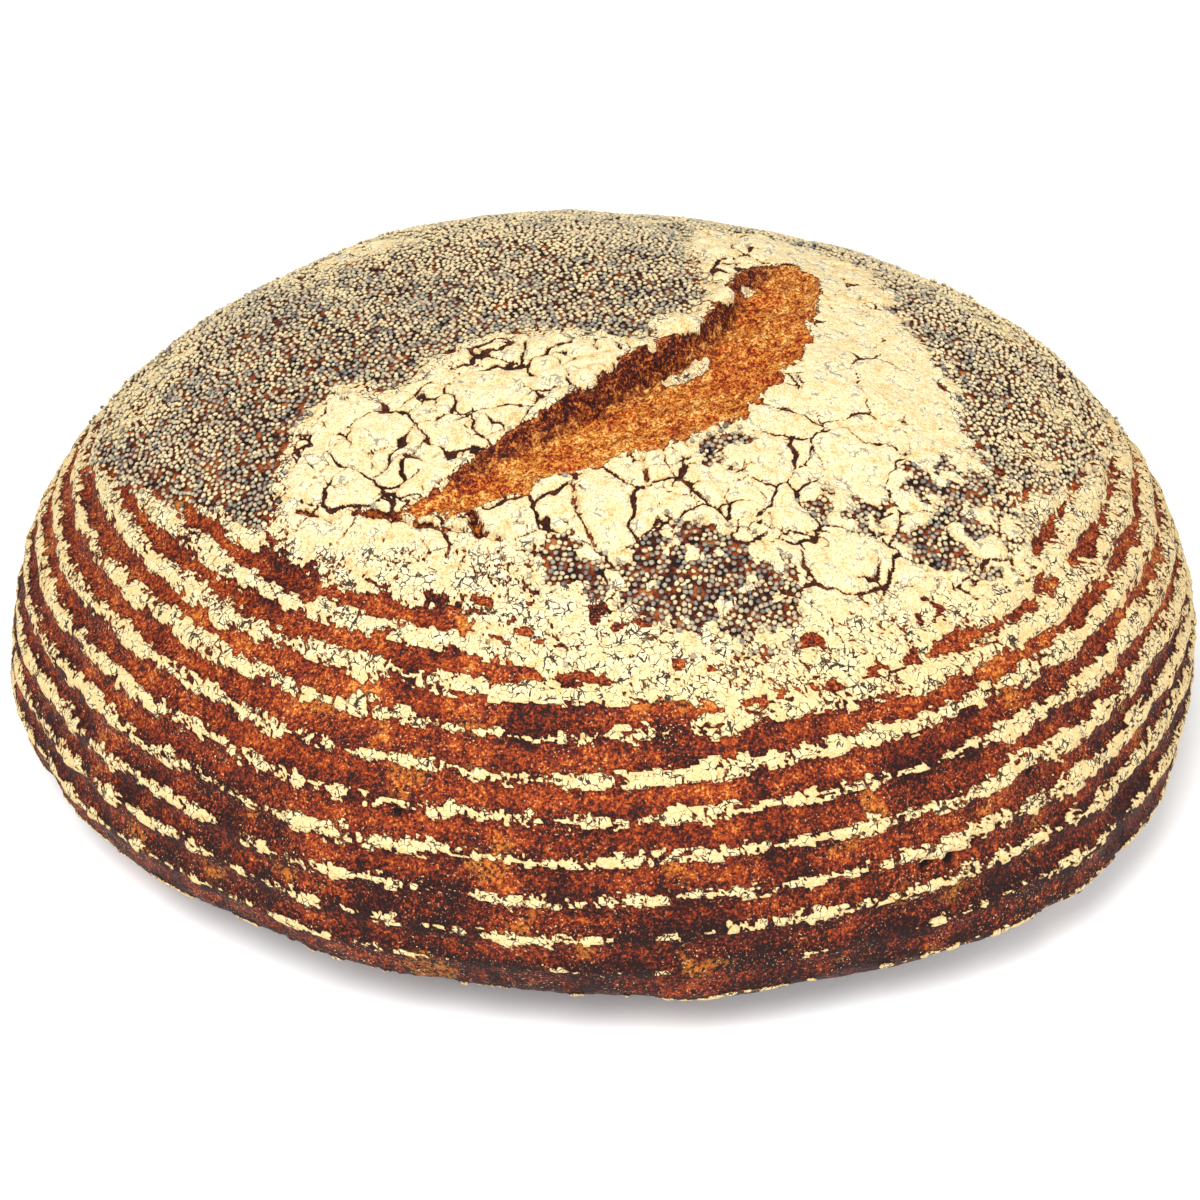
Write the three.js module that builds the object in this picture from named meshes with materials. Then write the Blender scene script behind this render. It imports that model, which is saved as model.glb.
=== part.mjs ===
// A round rye sourdough loaf, proved in a coiled cane basket and baked on a flat stone.
//
// Crust and crumb are one baked piece, so the loaf is one closed solid. Millimetres, +Z up.
// The loaf rests on its flat base at z = 0, with the origin at the middle of its footprint box.
// Azimuths are in degrees, measured from +X towards +Y, so -90 is the front.
// All shapes are first worked out about the middle of the basket's coils, called the coil axis.

import * as THREE from "three";
import { mergeVertices } from "three/addons/utils/BufferGeometryUtils.js";

// ---- Driving dimensions ----
const LOAF_RADIUS = 123; // plan radius at the belly, the widest level
const BELLY_HEIGHT = 17; // the belly above the base
const DOME_HEIGHT = 78; // the crown above the belly
const DOME_FULLNESS = 2.23; // 2 gives an ellipse, more gives fuller shoulders
const UNDERSIDE_DEPTH = 25; // depth of the rounded curve that the flat base cuts off
const UNDERSIDE_FULLNESS = 2.3;

// The outline wanders off a circle by these shares of the radius: [lobes, cosine, sine].
const OUTLINE_LOBES = [
  [2, 0.0037, -0.0106],
  [3, 0.0104, 0.0103],
  [4, 0.0035, 0.0066],
  [5, -0.0069, 0.0022],
];

// The crown leans a little: rise per millimetre of X and Y, at full dome height.
const CROWN_LEAN = { x: 0.011, y: 0.023 };

// The foot sits off the coil axis by this much, fading out at the belly.
const FOOT_SHIFT = { x: 6, y: 3 };

// Soft bulges and flats in the side, by azimuth and height.
const BULGES = [
  { azimuth: -45, height: 6, spreadAzimuth: 16, spreadHeight: 10, push: 5 },
  { azimuth: -112, height: 0, spreadAzimuth: 22, spreadHeight: 14, push: -4 },
  { azimuth: 42, height: 66, spreadAzimuth: 22, spreadHeight: 16, push: -3 },
  { azimuth: 152, height: 60, spreadAzimuth: 18, spreadHeight: 14, push: -2 },
];

// Ridges left by the basket's cane coils.
const RIDGE_HEIGHT = 1.2;
const RIDGE_PITCH = 7.4;
const LOWEST_RIDGE = 12;
const HIGHEST_RIDGE = 71;

// The crust burst open along a curved tear across the crown. Each point is on the middle of the
// tear, with the tear's half width there. Its left wall is steep and its right side is a ramp.
const TEAR_PATH = [
  { x: -36, y: -64.5, halfWidth: 0.5 },
  { x: -25, y: -62.5, halfWidth: 5 },
  { x: -9, y: -53, halfWidth: 7.8 },
  { x: 7, y: -42, halfWidth: 12 },
  { x: 17, y: -33, halfWidth: 13.5 },
  { x: 27, y: -19, halfWidth: 11.5 },
  { x: 32, y: -6, halfWidth: 9.5 },
  { x: 35, y: 7, halfWidth: 9 },
  { x: 38, y: 18, halfWidth: 7 },
  { x: 41, y: 27, halfWidth: 0.5 },
];
const TEAR_DEPTH = 5;
const TEAR_STEEPNESS = 0.6; // 0 gives a trough with two like sides, more makes the left the steeper
const LIP_RISE = 1.5; // the crust stands up along the tear's left edge
const LIP_SPREAD = 7;

// ---- Mesh fineness ----
const COLUMNS = 96;
const UNDERSIDE_ROWS = 5;
const ROWS_PER_RIDGE = 2;
const CROWN_START = 0.8; // share of the plan radius inside which rows are spaced in plan
const CROWN_ROWS = 24;
const TEAR_SAMPLES = 120;
const LEAST_HALF_WIDTH = 0.1; // keeps the place across the tear finite at its ends

const radians = THREE.MathUtils.degToRad;

// Plan radius of the belly in one direction, in millimetres.
function planRadius(azimuth) {
  const wander = OUTLINE_LOBES.map(
    ([lobes, cosine, sine]) => cosine * Math.cos(lobes * azimuth) + sine * Math.sin(lobes * azimuth),
  );
  return LOAF_RADIUS * wander.reduce((sum, share) => sum + share, 1);
}

// Share of the plan radius that the profile reaches at a height above the base.
function profileReach(height) {
  const aboveBelly = height - BELLY_HEIGHT;
  const depth = aboveBelly < 0 ? UNDERSIDE_DEPTH : DOME_HEIGHT;
  const fullness = aboveBelly < 0 ? UNDERSIDE_FULLNESS : DOME_FULLNESS;
  const share = Math.min(Math.abs(aboveBelly) / depth, 1);
  return (1 - share ** fullness) ** (1 / fullness);
}

// Height of the dome above the base at a share of the plan radius.
function domeHeight(reach) {
  return BELLY_HEIGHT + DOME_HEIGHT * (1 - reach ** DOME_FULLNESS) ** (1 / DOME_FULLNESS);
}

// The profile's rows, from the edge of the flat base up to just short of the crown.
function profileRows() {
  const rows = [];
  for (let i = 0; i < UNDERSIDE_ROWS; i += 1) {
    rows.push({ height: (BELLY_HEIGHT * i) / UNDERSIDE_ROWS });
  }
  const crownStartHeight = domeHeight(CROWN_START);
  const sideHeight = crownStartHeight - BELLY_HEIGHT;
  const sideRows = Math.round((sideHeight / RIDGE_PITCH) * ROWS_PER_RIDGE);
  for (let i = 0; i < sideRows; i += 1) {
    rows.push({ height: BELLY_HEIGHT + (sideHeight * i) / sideRows });
  }
  rows.forEach((row) => {
    row.reach = profileReach(row.height);
  });
  for (let i = 0; i < CROWN_ROWS; i += 1) {
    const reach = CROWN_START * (1 - i / CROWN_ROWS);
    rows.push({ reach, height: domeHeight(reach) });
  }
  return rows;
}

// A bell curve, 1 at the middle.
function bell(distance, spread) {
  return Math.exp(-0.5 * (distance / spread) ** 2);
}

// How far a bulge or a flat moves the side outwards.
function bulgePush(azimuthDegrees, height) {
  return BULGES.reduce((sum, bulge) => {
    const turn = THREE.MathUtils.euclideanModulo(azimuthDegrees - bulge.azimuth + 180, 360) - 180;
    const near = bell(turn, bulge.spreadAzimuth) * bell(height - bulge.height, bulge.spreadHeight);
    return sum + bulge.push * near;
  }, 0);
}

// Height of the cane ridges above the skin between them.
function ridgeRelief(height) {
  const fade =
    THREE.MathUtils.smoothstep(height, LOWEST_RIDGE, LOWEST_RIDGE + RIDGE_PITCH) -
    THREE.MathUtils.smoothstep(height, HIGHEST_RIDGE - RIDGE_PITCH, HIGHEST_RIDGE);
  return 0.5 * RIDGE_HEIGHT * fade * Math.cos((2 * Math.PI * (height - LOWEST_RIDGE)) / RIDGE_PITCH);
}

// The tear's middle line, with its half width carried as the third coordinate.
const tearMiddle = new THREE.CatmullRomCurve3(
  TEAR_PATH.map((point) => new THREE.Vector3(point.x, point.y, point.halfWidth)),
);
const tearPoints = tearMiddle.getSpacedPoints(TEAR_SAMPLES);
const widestHalf = Math.max(...TEAR_PATH.map((point) => point.halfWidth));

// How far the tear lowers the crown at a plan point, or raises it at the lip.
function tearDrop(x, y) {
  let nearest = 0;
  let shortest = Infinity;
  tearPoints.forEach((point, i) => {
    const distance = Math.hypot(x - point.x, y - point.y);
    if (distance < shortest) {
      shortest = distance;
      nearest = i;
    }
  });
  const middle = tearPoints[nearest];
  const halfWidth = Math.max(middle.z, LEAST_HALF_WIDTH);
  const before = tearPoints[Math.max(nearest - 1, 0)];
  const after = tearPoints[Math.min(nearest + 1, TEAR_SAMPLES)];
  const along = new THREE.Vector2(after.x - before.x, after.y - before.y).normalize();
  const rightwards = (x - middle.x) * along.y - (y - middle.y) * along.x;
  const across = rightwards / halfWidth;
  const openness = halfWidth / widestHalf;
  const lip = LIP_RISE * openness * bell(rightwards + halfWidth + LIP_SPREAD / 2, LIP_SPREAD / 2);
  const offEnd = shortest > Math.abs(rightwards) + halfWidth;
  if (Math.abs(across) >= 1 || offEnd) {
    return offEnd || across > 0 ? 0 : -lip;
  }
  const trough = 1 - across ** 2;
  return TEAR_DEPTH * openness * trough * (1 - TEAR_STEEPNESS * across);
}

// One point of the skin, for a row of the profile and an azimuth in radians.
function skinPoint(row, azimuth) {
  const { height, reach } = row;
  const relief = bulgePush(THREE.MathUtils.radToDeg(azimuth), height) + ridgeRelief(height);
  const radius = reach * planRadius(azimuth) + relief * reach;
  const footShare = Math.max(1 - height / BELLY_HEIGHT, 0) ** 2;
  const x = radius * Math.cos(azimuth) + FOOT_SHIFT.x * footShare;
  const y = radius * Math.sin(azimuth) + FOOT_SHIFT.y * footShare;
  const domeShare = Math.max(height - BELLY_HEIGHT, 0) / DOME_HEIGHT;
  const lean = (CROWN_LEAN.x * x + CROWN_LEAN.y * y) * domeShare;
  const drop = reach < CROWN_START ? tearDrop(x, y) : 0;
  return new THREE.Vector3(x, y, height + lean - drop);
}

// The closed skin: a fan for the flat base, bands up the side and a fan at the crown.
function loafGeometry() {
  const rows = profileRows();
  const footCentre = new THREE.Vector3(FOOT_SHIFT.x, FOOT_SHIFT.y, 0);
  const crownCentre = new THREE.Vector3(0, 0, domeHeight(0) - tearDrop(0, 0));
  const points = rows.flatMap((row) =>
    Array.from({ length: COLUMNS }, (_, column) => skinPoint(row, radians((360 * column) / COLUMNS))),
  );
  const foot = points.push(footCentre) - 1;
  const crown = points.push(crownCentre) - 1;
  const lastRow = (rows.length - 1) * COLUMNS;

  const faces = [];
  for (let column = 0; column < COLUMNS; column += 1) {
    const next = (column + 1) % COLUMNS;
    faces.push(foot, next, column);
    for (let start = 0; start < lastRow; start += COLUMNS) {
      const above = start + COLUMNS;
      faces.push(start + column, start + next, above + next);
      faces.push(start + column, above + next, above + column);
    }
    faces.push(crown, lastRow + column, lastRow + next);
  }

  const geometry = new THREE.BufferGeometry().setFromPoints(points);
  geometry.setIndex(faces);
  geometry.computeBoundingBox();
  const middle = geometry.boundingBox.getCenter(new THREE.Vector3());
  geometry.translate(-middle.x, -middle.y, 0);
  const closed = mergeVertices(geometry);
  closed.computeVertexNormals();
  return closed;
}

const crust = new THREE.MeshStandardMaterial({ color: 0x9a4a24, roughness: 0.85, metalness: 0 });

const loaf = new THREE.Mesh(loafGeometry(), crust);
loaf.name = "loaf";

const breadLoaf = new THREE.Group();
breadLoaf.add(loaf);

export default breadLoaf;
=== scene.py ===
"""A round rye sourdough loaf: baked crust with flour plates and rings, a torn crown and poppy seeds.

Lengths are in millimetres up to the point where a mesh is made, and metres from there on.
The loaf is worked out about the axis of the basket's coils, called the coil axis. The skin is laid
out flat as an "unrolled" plane: a point's distance from its origin is the length along the skin
from the crown, and its direction is the azimuth. Azimuth -90 degrees is the front.
"""

import math

import bpy
import numpy as np
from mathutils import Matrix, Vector


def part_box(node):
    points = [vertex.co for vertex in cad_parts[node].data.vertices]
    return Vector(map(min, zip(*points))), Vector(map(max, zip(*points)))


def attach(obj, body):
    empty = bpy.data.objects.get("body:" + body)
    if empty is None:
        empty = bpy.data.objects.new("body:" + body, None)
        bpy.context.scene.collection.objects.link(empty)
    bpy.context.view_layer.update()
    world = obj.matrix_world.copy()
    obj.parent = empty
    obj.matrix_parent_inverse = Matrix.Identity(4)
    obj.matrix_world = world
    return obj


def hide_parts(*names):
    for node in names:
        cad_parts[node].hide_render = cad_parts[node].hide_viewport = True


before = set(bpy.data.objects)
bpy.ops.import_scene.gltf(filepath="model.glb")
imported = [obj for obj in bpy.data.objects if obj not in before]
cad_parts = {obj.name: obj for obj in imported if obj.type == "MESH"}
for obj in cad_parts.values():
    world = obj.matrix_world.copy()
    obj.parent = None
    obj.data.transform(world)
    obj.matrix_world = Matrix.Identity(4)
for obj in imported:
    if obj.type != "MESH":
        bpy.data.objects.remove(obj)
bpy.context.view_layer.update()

MM = 0.001

# ---- Driving dimensions of the loaf ----
LOAF_RADIUS = 123.0
BELLY_HEIGHT = 17.0
DOME_HEIGHT = 78.0
DOME_FULLNESS = 2.23
UNDERSIDE_DEPTH = 25.0
UNDERSIDE_FULLNESS = 2.3
# waves round the outline in plan: how many, cosine share and sine share
OUTLINE_LOBES = ((2, 0.0037, -0.0106), (3, 0.0104, 0.0103), (4, 0.0035, 0.0066), (5, -0.0069, 0.0022))
CROWN_LEAN = (0.011, 0.023)  # rise of the crown per millimetre of x and y
FOOT_SHIFT = (6.0, 3.0)  # how far the base lies from the belly's middle
# azimuth, height, spread in azimuth, spread in height, push outwards
BULGES = ((-45, 6, 16, 10, 5), (-112, 0, 22, 14, -4), (42, 66, 22, 16, -3), (152, 60, 18, 14, -2))

# ---- Basket rings ----
RING_PITCH = 7.55
FIRST_RING = 116.0  # skin length from the crown to one of the rings
RING_HEIGHT = 1.1

# ---- The burst tear: x, y and half width along its middle ----
TEAR_PATH = ((-36, -64.5, 0.5), (-25, -62.5, 5), (-9, -53, 7.8), (7, -42, 12), (17, -33, 13.5),
             (27, -19, 11.5), (32, -6, 9.5), (35, 7, 9), (38, 18, 7), (41, 27, 0.5))
TEAR_DEPTH = 5.5
LIP_RISE = 1.3
LIP_OVERHANG = 0.6
TEAR_SURROUND = 14.0  # how far beside the tear its lip still shows

# ---- Where flour and seeds lie, as outlines in plan ----
FLOUR_FIELD = (
    (-59, -32), (-48, -25), (-41, -31), (-34, -24), (-25, -15), (-12, -14), (0, -15), (9, -17),
    (12, -8), (19, -3), (20, 10), (17, 34), (20, 50), (45, 47), (55, 36), (60, 20), (62, 4),
    (68, -8), (71, -24), (76, -40), (84, -56), (68, -77), (51, -92), (30, -101), (8, -101),
    (-16, -96), (-28, -90), (-46, -78), (-60, -66), (-62, -48),
)
SEED_CARPET = (
    (-104, 0), (-97, -20), (-87, -34), (-74, -48), (-62, -57), (-55, -44), (-30, -35), (0, -30),
    (40, -12), (66, -12), (74, -36), (84, -40), (93, -28), (100, -12), (104, 8), (99, 32),
    (88, 54), (68, 76), (42, 93), (8, 101), (-30, 98), (-64, 84), (-88, 60), (-102, 30),
)
SEED_PATCHES = (
    ((-12, -80), (-6, -74), (3, -80), (10, -74), (20, -71), (31, -75), (36, -84), (32, -91),
     (20, -93), (7, -89), (-3, -87), (-12, -86)),
    ((16, -51), (20, -48), (27, -47), (29, -50), (24, -54), (20, -58)),
    ((39, -63), (45, -58), (54, -59), (53, -65), (43, -67)),
    ((55, -60), (58, -49), (64, -41), (73, -37), (80, -42), (79, -54), (70, -66), (60, -70)),
)

# Open splits in the flour near the tear's lower end: from x, y to x, y and half width
SPLITS = ((-47, -61, -39, -65, 0.7), (-39, -65, -33, -69, 0.9), (-24, -67, -22, -73, 1.1),
          (-33, -69, -22, -73, 0.4), (-57, -57, -50, -62, 0.4), (-50, -62, -47, -61, 0.4),
          (-22, -73, -12, -77, 0.35), (-5, -63, -4, -70, 0.45), (-4, -70, -1, -77, 0.3),
          (8, -55, 9, -63, 0.35))
# Flour knobs on the tear's lip, and flour left inside it: x, y, half length, half width, turn
KNOBS = ((15, -10, 5.6, 4.6, 30), (24.5, 3, 3.0, 2.4, 70), (-3, -34, 2.6, 2.0, 40))
KNOB_RISE = 1.3
ISLANDS = ((17.5, -23.5, 6.4, 2.5, 42), (31, 13, 2.2, 1.4, 20))
# Where flour has settled among the seeds: x, y, radius and how thickly
DUSTINGS = ((-94, 12, 9, 0.9), (-95, -5, 7, 0.8), (-91, 20, 6, 0.6), (-45, 51, 9, 1.3), (-56, 47, 7, 1.1),
            (-7, 35, 6, 0.7), (-18, 49, 6, 0.6), (5, 88, 14, 0.7), (85, 22, 8, 1.2), (93, -6, 7, 1.2),
            (85, -27, 6, 1.1), (76, 44, 8, 0.8))

FAR_OUTSIDE = -14.0  # depth inside an outline for points well outside it

# ---- Mesh fineness ----
PATCH_CELLS = 380  # cells along each side of the square patch over the crown
PATCH_ARC = 78.0  # skin length from the crown to the patch's edge
ROW_SPACING = 0.46
BASE_ROWS = 14


# ---- Small maths ----

def smoothstep(low, high, value):
    share = np.clip((value - low) / (high - low), 0.0, 1.0)
    return share * share * (3.0 - 2.0 * share)


def bell(distance, spread):
    return np.exp(-0.5 * (distance / spread) ** 2)


def mix(first, second, share):
    return first + (second - first) * share


def unit_length(vectors):
    return vectors / np.linalg.norm(vectors, axis=1, keepdims=True)


def scramble(ix, iy, iz, seed):
    """A repeatable random 32-bit number for each whole-number cell."""
    value = ix.astype(np.uint32) * np.uint32(73856093)
    value ^= iy.astype(np.uint32) * np.uint32(19349663)
    value ^= iz.astype(np.uint32) * np.uint32(83492791)
    value ^= np.uint32(seed * 2654435761 % 2**32)
    value = (value ^ (value >> np.uint32(15))) * np.uint32(2246822519)
    value = (value ^ (value >> np.uint32(13))) * np.uint32(3266489917)
    return value ^ (value >> np.uint32(16))


def unit(bits):
    """Random bits as a number from 0 to 1."""
    return (bits >> np.uint32(8)).astype(np.float32) / np.float32(2**24)


def noise(points, size, seed):
    """Smooth gradient noise, about -1 to 1, with lumps of about the given size."""
    scaled = (points / size).astype(np.float32)
    cell = np.floor(scaled).astype(np.int64)
    inside = scaled - cell
    fade = inside * inside * inside * (inside * (inside * 6.0 - 15.0) + 10.0)
    total = np.zeros(len(points), np.float32)
    for corner in range(8):
        step = np.array([corner & 1, corner >> 1 & 1, corner >> 2 & 1])
        bits = scramble(*(cell + step).T, seed)
        gradient = [(bits >> np.uint32(shift) & np.uint32(1023)).astype(np.float32) / 511.5 - 1.0
                    for shift in (0, 10, 20)]
        weight = np.prod(np.where(step == 1, fade, 1.0 - fade), axis=1)
        away = inside - step
        total += weight * sum(gradient[axis] * away[:, axis] for axis in range(3))
    return total * 1.4


def layered(points, size, seed, layers=3):
    """Noise with finer and fainter layers added."""
    return sum(noise(points, size / 2**layer, seed + layer) / 2**layer for layer in range(layers))


def cells(points, size, seed):
    """Random cells of about the given size: distance to the cell's border, and its random number."""
    scaled = points / size
    home = np.floor(scaled).astype(np.int64)
    count = len(points)
    nearest = np.full(count, np.inf)
    second = np.full(count, np.inf)
    nearest_at = np.zeros((count, 3))
    second_at = np.zeros((count, 3))
    nearest_id = np.zeros(count, np.float32)
    for dx in (-1, 0, 1):
        for dy in (-1, 0, 1):
            for dz in (-1, 0, 1):
                cell = home + (dx, dy, dz)
                draws = [unit(scramble(*cell.T, seed + extra)) for extra in range(4)]
                centre = cell + np.stack(draws[:3], axis=1)
                distance = np.sum((centre - scaled) ** 2, axis=1)
                closer = distance < nearest
                middle = ~closer & (distance < second)
                second = np.where(closer, nearest, np.where(middle, distance, second))
                second_at = np.where(closer[:, None], nearest_at,
                                     np.where(middle[:, None], centre, second_at))
                nearest = np.where(closer, distance, nearest)
                nearest_at = np.where(closer[:, None], centre, nearest_at)
                nearest_id = np.where(closer, draws[3], nearest_id)
    apart = np.linalg.norm(second_at - nearest_at, axis=1)
    border = (second - nearest) / (2.0 * np.maximum(apart, 1e-6)) * size
    return border, nearest_id


def curve_point(p0, p1, p2, p3, share):
    """A place between p1 and p2 on the smooth curve through four points."""
    return 0.5 * (2 * p1 + (p2 - p0) * share + (2 * p0 - 5 * p1 + 4 * p2 - p3) * share**2
                  + (3 * p1 - p0 - 3 * p2 + p3) * share**3)


def smooth_outline(corners, steps=5):
    """A closed curve through the corners."""
    points = np.array(corners, float)
    before, after, beyond = (np.roll(points, shift, axis=0) for shift in (1, -1, -2))
    shares = np.linspace(0.0, 1.0, steps, endpoint=False)
    curve = [curve_point(before, points, after, beyond, share) for share in shares]
    return np.stack(curve, axis=1).reshape(-1, 2)


def near_box(x, y, points, margin):
    """The numbers of the plan points that lie in the points' box or within a margin round it."""
    low, high = points.min(axis=0) - margin, points.max(axis=0) + margin
    return np.flatnonzero((x > low[0]) & (x < high[0]) & (y > low[1]) & (y < high[1]))


def depth_inside(x, y, corners, margin=-FAR_OUTSIDE):
    """How far each plan point is inside an outline. Points outside get a negative number."""
    outline = smooth_outline(corners)
    depth = np.full(len(x), -margin)
    near = near_box(x, y, outline, margin)
    px, py = x[near], y[near]
    shortest = np.full(len(near), np.inf)
    inside = np.zeros(len(near), bool)
    for (ax, ay), (bx, by) in zip(outline, np.roll(outline, -1, axis=0)):
        ex, ey = bx - ax, by - ay
        share = np.clip(((px - ax) * ex + (py - ay) * ey) / (ex * ex + ey * ey), 0.0, 1.0)
        shortest = np.minimum(shortest, np.hypot(px - ax - share * ex, py - ay - share * ey))
        crosses = (ay > py) != (by > py)
        inside ^= crosses & (px < ax + ex * (py - ay) / (ey if ey else 1e-9))
    depth[near] = np.where(inside, shortest, -np.minimum(shortest, margin))
    return depth


# ---- The smooth skin ----

def superellipse(share, fullness):
    return np.clip(1.0 - share**fullness, 0.0, 1.0) ** (1.0 / fullness)


def profile_table():
    """Skin length, share of the plan radius and height, from the crown to the base's edge."""
    turn = np.linspace(0.0, math.pi / 2, 3000)
    dome_reach = np.sin(turn) ** (2 / DOME_FULLNESS)
    dome_height = BELLY_HEIGHT + DOME_HEIGHT * np.cos(turn) ** (2 / DOME_FULLNESS)
    under_height = np.linspace(BELLY_HEIGHT, 0.0, 400)[1:]
    under_reach = superellipse((BELLY_HEIGHT - under_height) / UNDERSIDE_DEPTH, UNDERSIDE_FULLNESS)
    reach = np.concatenate([dome_reach, under_reach])
    height = np.concatenate([dome_height, under_height])
    steps = np.hypot(np.diff(reach) * LOAF_RADIUS, np.diff(height))
    return np.concatenate([[0.0], np.cumsum(steps)]), reach, height


ARC_TABLE, REACH_TABLE, HEIGHT_TABLE = profile_table()
BASE_EDGE_ARC = ARC_TABLE[-1]
BELLY_ARC = ARC_TABLE[np.argmax(REACH_TABLE)]
BASE_RADIUS = REACH_TABLE[-1] * LOAF_RADIUS


def plan_radius(azimuth):
    wander = sum(c * np.cos(n * azimuth) + s * np.sin(n * azimuth) for n, c, s in OUTLINE_LOBES)
    return LOAF_RADIUS * (1.0 + wander)


def smooth_skin(across, along):
    """The undetailed skin at points of the unrolled plane."""
    arc = np.hypot(across, along)
    azimuth = np.arctan2(along, across)
    reach = np.interp(arc, ARC_TABLE, REACH_TABLE)
    height = np.interp(arc, ARC_TABLE, HEIGHT_TABLE)
    push = 0.0
    for middle, level, spread, spread_height, amount in BULGES:
        turn = (np.degrees(azimuth) - middle + 180.0) % 360.0 - 180.0
        push = push + amount * bell(turn, spread) * bell(height - level, spread_height)
    radius = reach * (plan_radius(azimuth) + push)
    foot = np.clip(1.0 - height / BELLY_HEIGHT, 0.0, 1.0) ** 2
    x = radius * np.cos(azimuth) + FOOT_SHIFT[0] * foot
    y = radius * np.sin(azimuth) + FOOT_SHIFT[1] * foot
    above = np.clip(height - BELLY_HEIGHT, 0.0, None) / DOME_HEIGHT
    return np.stack([x, y, height + (CROWN_LEAN[0] * x + CROWN_LEAN[1] * y) * above], axis=1)


def skin_normals(across, along, step=0.4):
    sideways = smooth_skin(across + step, along) - smooth_skin(across - step, along)
    onwards = smooth_skin(across, along + step) - smooth_skin(across, along - step)
    return unit_length(np.cross(sideways, onwards))


# ---- The tear ----

def tear_middle(steps=24):
    """Closely spaced x, y and half width along the tear's middle."""
    points = np.array(TEAR_PATH, float)
    padded = np.vstack([2 * points[0] - points[1], points, 2 * points[-1] - points[-2]])
    curve = []
    for four_points in zip(padded, padded[1:], padded[2:], padded[3:]):
        for share in np.linspace(0.0, 1.0, steps, endpoint=False):
            curve.append(curve_point(*four_points, share))
    curve.append(points[-1])
    return np.array(curve)


def tear_frame(x, y):
    """How each plan point lies by the tear: distance right of its middle and past its end, its half
    width there, the length along it, its heading, and its width as a share of the widest."""
    middle = tear_middle()
    heading = unit_length(np.gradient(middle[:, :2], axis=0))
    lengths = np.concatenate([[0.0], np.cumsum(np.linalg.norm(np.diff(middle[:, :2], axis=0), axis=1))])
    widest = middle[:, 2].max()
    shortest = np.hypot(x - middle[0, 0], y - middle[0, 1])
    nearest = np.zeros(len(x), int)
    near = near_box(x, y, middle[:, :2], widest + TEAR_SURROUND)
    best, found = np.full(len(near), np.inf), np.zeros(len(near), int)
    for index, (mx, my, _) in enumerate(middle):
        distance = np.hypot(x[near] - mx, y[near] - my)
        closer = distance < best
        best = np.where(closer, distance, best)
        found = np.where(closer, index, found)
    shortest[near], nearest[near] = best, found
    dx = x - middle[nearest, 0]
    dy = y - middle[nearest, 1]
    rightwards = dx * heading[nearest, 1] - dy * heading[nearest, 0]
    off_end = np.sqrt(np.maximum(shortest**2 - rightwards**2, 0.0))
    half_width = middle[nearest, 2]
    return rightwards, off_end, half_width, lengths[nearest], heading[nearest], half_width / widest


# ---- What lies where on the skin ----

RING_WANDER = 1.3
PLATE_SIZE = 13.0
SLAB_SIZE = 6.0
CHUNK_SIZE = 2.8
CRUMB_SIZE = 1.25
# azimuth and skin length from the crown, then radius and depth, of the larger holes in the crust
PITS = ((-144, 131, 1.3, 1.6), (-107, 102, 0.9, 1.0), (-85, 107, 0.8, 1.0), (-108, 133, 0.9, 1.2),
        (-61, 149, 1.2, 1.8), (-58.5, 149.5, 1.3, 1.8), (-56, 147.5, 1.0, 1.5), (-53, 146, 1.3, 1.5),
        (-48, 140, 1.0, 1.3), (-20, 138, 1.1, 1.3), (35, 128, 1.2, 1.5), (96, 140, 1.0, 1.4),
        (101, 137, 1.3, 1.6), (150, 133, 1.1, 1.4), (178, 146, 1.2, 1.5))


def side_share(azimuth):
    """0 at the front, 1 round the sides and back, where the rings are broad."""
    turn = np.abs((np.degrees(azimuth) + 90.0 + 180.0) % 360.0 - 180.0)
    return smoothstep(18.0, 70.0, turn)


def heap(x, y, ragged, ovals):
    """Ragged ovals in plan: how much each point is covered, and how high its rounded top is."""
    cover, rise = np.zeros(len(x)), np.zeros(len(x))
    for middle_x, middle_y, long_half, wide_half, turn in ovals:
        cosine, sine = math.cos(math.radians(turn)), math.sin(math.radians(turn))
        dx, dy = x - middle_x, y - middle_y
        far = np.hypot((dx * cosine + dy * sine) / long_half, (dy * cosine - dx * sine) / wide_half)
        far = far + 0.25 * ragged
        cover = np.maximum(cover, smoothstep(1.06, 0.94, far))
        rise = np.maximum(rise, np.sqrt(np.clip(1.0 - far**2, 0.0, 1.0)))
    return cover, rise


def split_depth(x, y, ragged):
    """How far each plan point is inside one of the splits beside the tear."""
    depth = np.full(len(x), FAR_OUTSIDE)
    for ax, ay, bx, by, half in SPLITS:
        share = np.clip(((x - ax) * (bx - ax) + (y - ay) * (by - ay)) / ((bx - ax)**2 + (by - ay)**2), 0, 1)
        gap = np.hypot(x - mix(ax, bx, share), y - mix(ay, by, share))
        depth = np.maximum(depth, half + 0.7 * ragged - gap)
    return depth


def flour_depth(points, x, y, ragged, patchy, dusted):
    """How far each plan point is inside the flour on the crown, its edge frayed towards the front."""
    fray = smoothstep(-56.0, -84.0, y)
    field = depth_inside(x, y, FLOUR_FIELD) + (2.0 + 1.5 * fray) * ragged
    field = field + (1.2 + 3.0 * fray) * patchy - 2.0 * fray
    dapple = layered(points, 3.4, 241, 2)
    loose_side = smoothstep(42.0, 60.0, x) * smoothstep(70.0, 40.0, y)
    field = field + 7.0 * dapple * loose_side * bell(field + 2.0, 4.0)
    field = np.maximum(field, 4.0 * (dusted - 0.85) + 1.8 * dapple)
    bald = layered(points, 5.0, 261, 2)
    return field - 9.0 * smoothstep(0.28, 0.48, bald) * smoothstep(-72.0, -86.0, y)


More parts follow.
